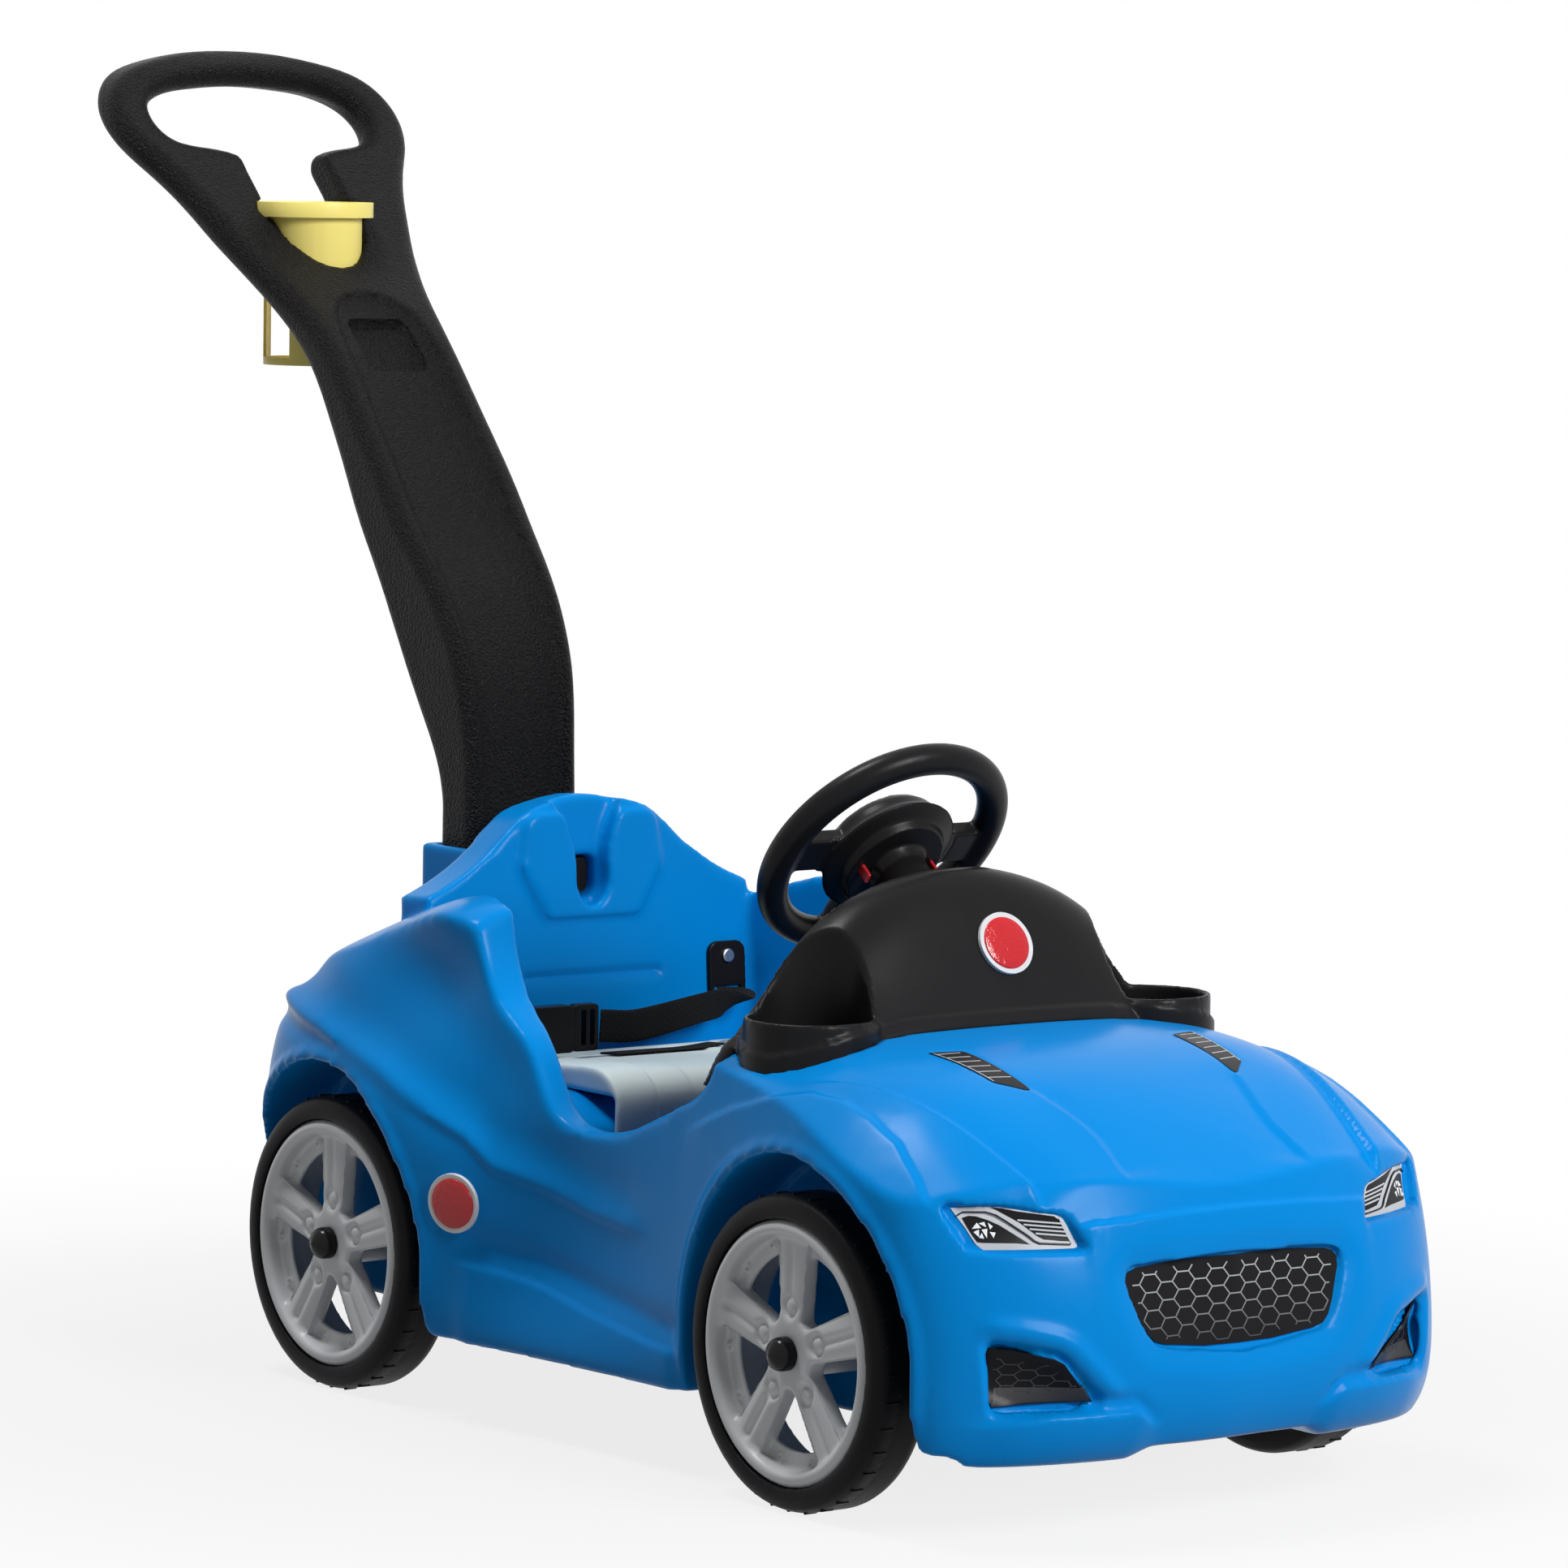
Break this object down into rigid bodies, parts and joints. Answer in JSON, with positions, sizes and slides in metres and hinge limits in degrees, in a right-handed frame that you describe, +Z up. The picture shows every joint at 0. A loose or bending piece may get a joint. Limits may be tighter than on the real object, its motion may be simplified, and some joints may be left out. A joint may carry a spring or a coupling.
{
  "type": "push_car",
  "caption": "Ride-on push car for a toddler: open blue car body with rolling wheels, turning steering wheel, horn, lap belt and a removable push handle with a cup holder.",
  "frame": {"origin": "On the floor, under the middle of the whole length from nose to push handle.", "axes": "+Z is up, the car faces -Y and its left side is +X."},
  "size_m": [0.5006, 1.3204, 1],
  "materials": {
    "body_blue": "semi-gloss blow-moulded polyethylene",
    "black_satin": "satin injection-moulded polypropylene",
    "handle_black": "grained blow-moulded polyethylene",
    "seat_grey": "satin grey polyethylene",
    "rim_grey": "satin grey polypropylene",
    "tyre_black": "matte soft-touch tread",
    "cap_black": "gloss push-on cap",
    "bush_nylon": "natural nylon",
    "steel": "bright zinc plate",
    "horn_red": "gloss red",
    "cup_yellow": "semi-gloss yellow polypropylene",
    "buckle_black": "satin acetal",
    "webbing": "woven polypropylene"
  },
  "bodies": {
    "car": {"body_shell": "body_blue", "dashboard": "black_satin", "seat_panel": "seat_grey", "front_axle": "steel", "rear_axle": "steel", "button_spring": "steel", "belt_anchor_right": "buckle_black", "belt_anchor_left": "buckle_black", "belt_rivets": "steel", "belt_strap_left": "webbing", "belt_strap_right": "webbing", "buckle_socket": "buckle_black", "buckle_tongue": "buckle_black", "hub_cap_front_right": "cap_black", "hub_cap_front_left": "cap_black", "hub_cap_rear_right": "cap_black", "hub_cap_rear_left": "cap_black", "bush_front_right": "bush_nylon", "bush_front_left": "bush_nylon", "bush_rear_right": "bush_nylon", "bush_rear_left": "bush_nylon"},
    "wheel_front_right": {"rim_front_right": "rim_grey", "tyre_front_right": "tyre_black"},
    "wheel_front_left": {"rim_front_left": "rim_grey", "tyre_front_left": "tyre_black"},
    "wheel_rear_right": {"rim_rear_right": "rim_grey", "tyre_rear_right": "tyre_black"},
    "wheel_rear_left": {"rim_rear_left": "rim_grey", "tyre_rear_left": "tyre_black"},
    "steering": {"steering_wheel": "black_satin", "steering_column": "black_satin", "column_clip": "black_satin", "horn_spring": "steel"},
    "horn": {"horn_button": "horn_red"},
    "handle": {"push_handle": "handle_black", "cup_holder": "cup_yellow"},
    "release_button": {"handle_button": "handle_black"}
  },
  "joints": [
    {"name": "spin_front_right", "type": "hinge", "parent": "car", "child": "wheel_front_right", "pos_m": [0, -0.44241, 0.11], "axis": [1, 0, 0], "continuous": true},
    {"name": "spin_front_left", "type": "hinge", "parent": "car", "child": "wheel_front_left", "pos_m": [0, -0.44241, 0.11], "axis": [1, 0, 0], "continuous": true},
    {"name": "spin_rear_right", "type": "hinge", "parent": "car", "child": "wheel_rear_right", "pos_m": [0, 0.12759, 0.11], "axis": [1, 0, 0], "continuous": true},
    {"name": "spin_rear_left", "type": "hinge", "parent": "car", "child": "wheel_rear_left", "pos_m": [0, 0.12759, 0.11], "axis": [1, 0, 0], "continuous": true},
    {"name": "steer", "type": "hinge", "parent": "car", "child": "steering", "pos_m": [0, -0.24241, 0.43], "axis": [0, 0.7615, 0.6481], "continuous": true},
    {"name": "press_horn", "type": "slide", "parent": "steering", "child": "horn", "axis": [0, -0.7615, -0.6481], "range_m": [0, 0.003], "stiffness_N_per_m": 500, "deforming": ["horn_spring"]},
    {"name": "lift_handle", "type": "slide", "parent": "car", "child": "handle", "axis": [0, 0, 1], "range_m": [0, 0.09]},
    {"name": "press_release", "type": "slide", "parent": "car", "child": "release_button", "axis": [0, 1, 0], "range_m": [0, 0.006], "stiffness_N_per_m": 500, "deforming": ["button_spring"]}
  ]
}
